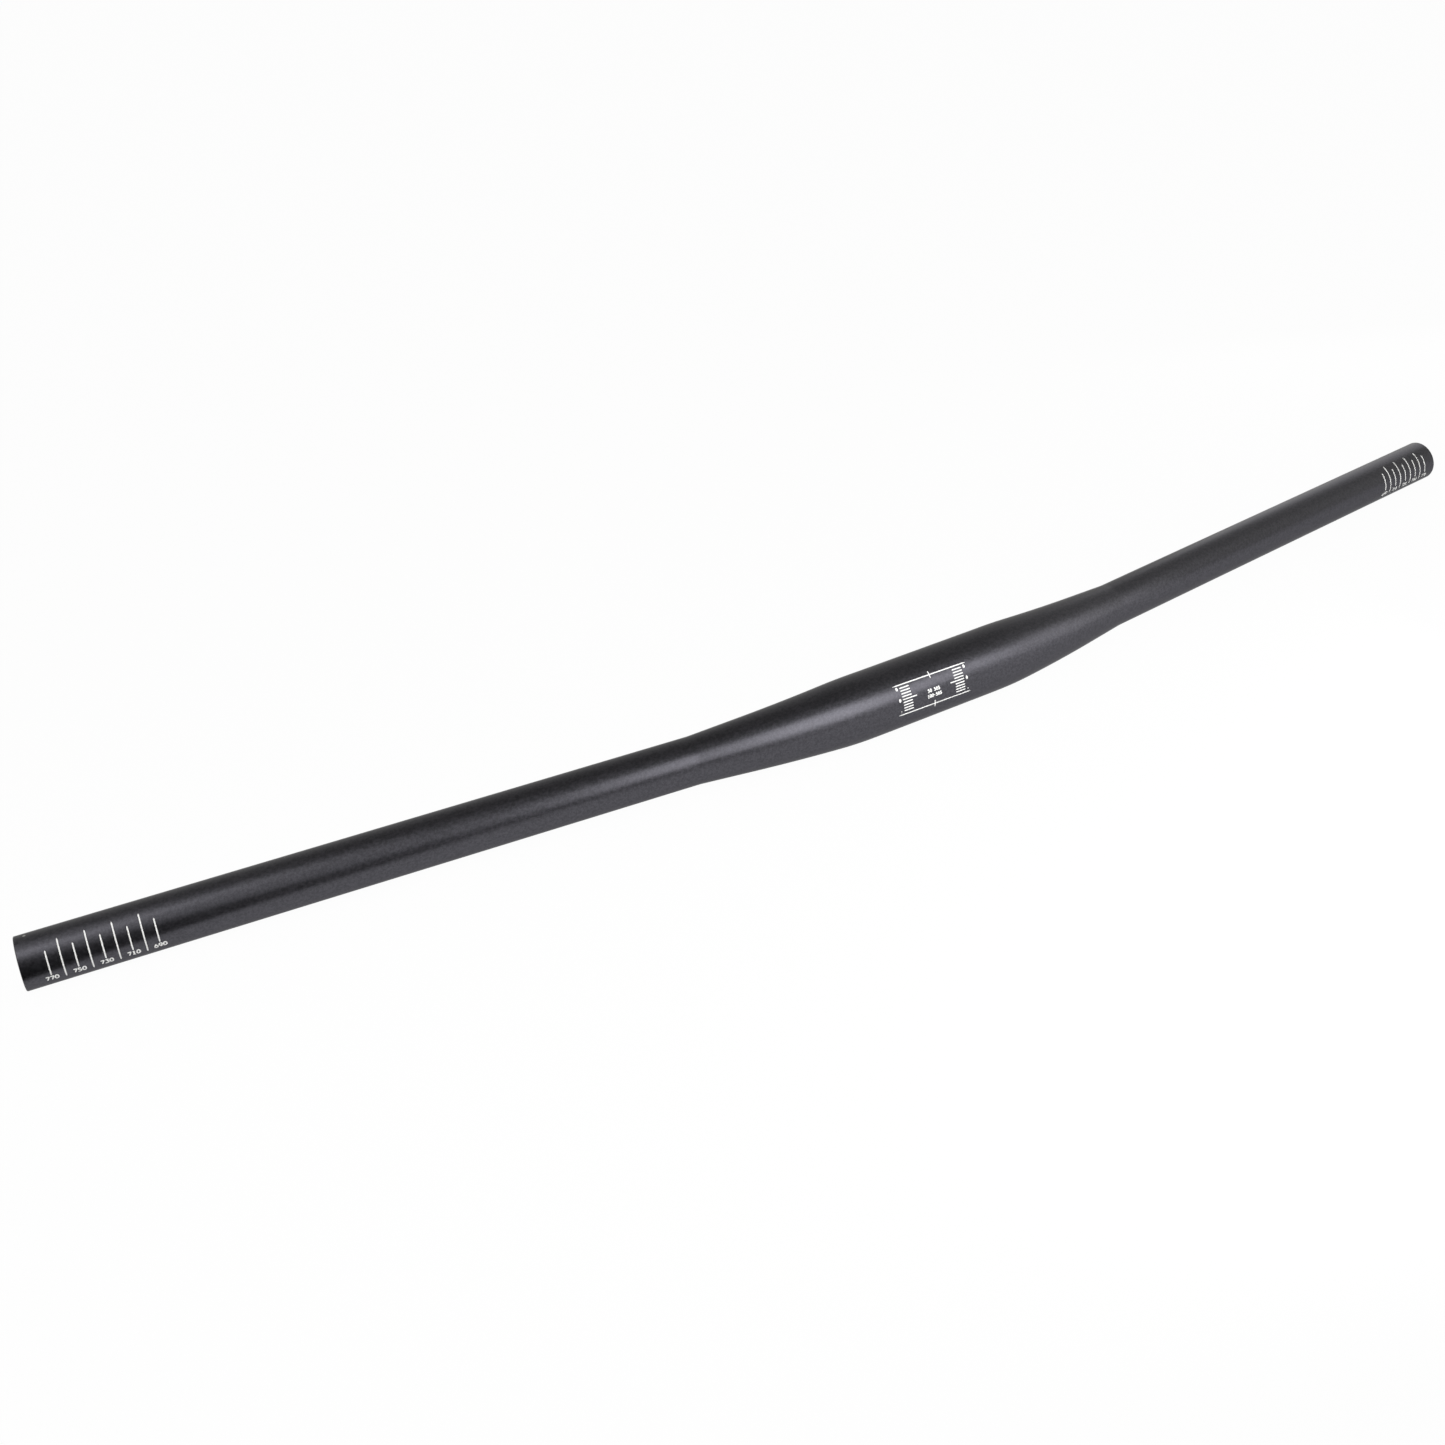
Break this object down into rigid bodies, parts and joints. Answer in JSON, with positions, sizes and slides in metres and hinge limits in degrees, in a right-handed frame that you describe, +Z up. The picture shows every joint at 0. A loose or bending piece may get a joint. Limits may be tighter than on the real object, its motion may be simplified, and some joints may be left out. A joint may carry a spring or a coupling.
{
  "type": "flat handlebar",
  "caption": "Flat bicycle handlebar: one bent, butted aluminium tube, thick in the middle for the stem clamp and narrowing to grips that sweep back.",
  "frame": {"origin": "the middle of the straight clamp section, on its axis", "axes": "+X along the clamp axis, towards one grip. +Y towards the rider, the way the grips sweep back. +Z up. The bar is rolled about X so that its clamp section and both end rims lie level."},
  "size_m": [0.7924, 0.0793, 0.0318],
  "materials": {
    "bar": "bead-blasted and anodised satin black"
  },
  "bodies": {
    "root": {"handlebar": "bar"}
  },
  "joints": []
}
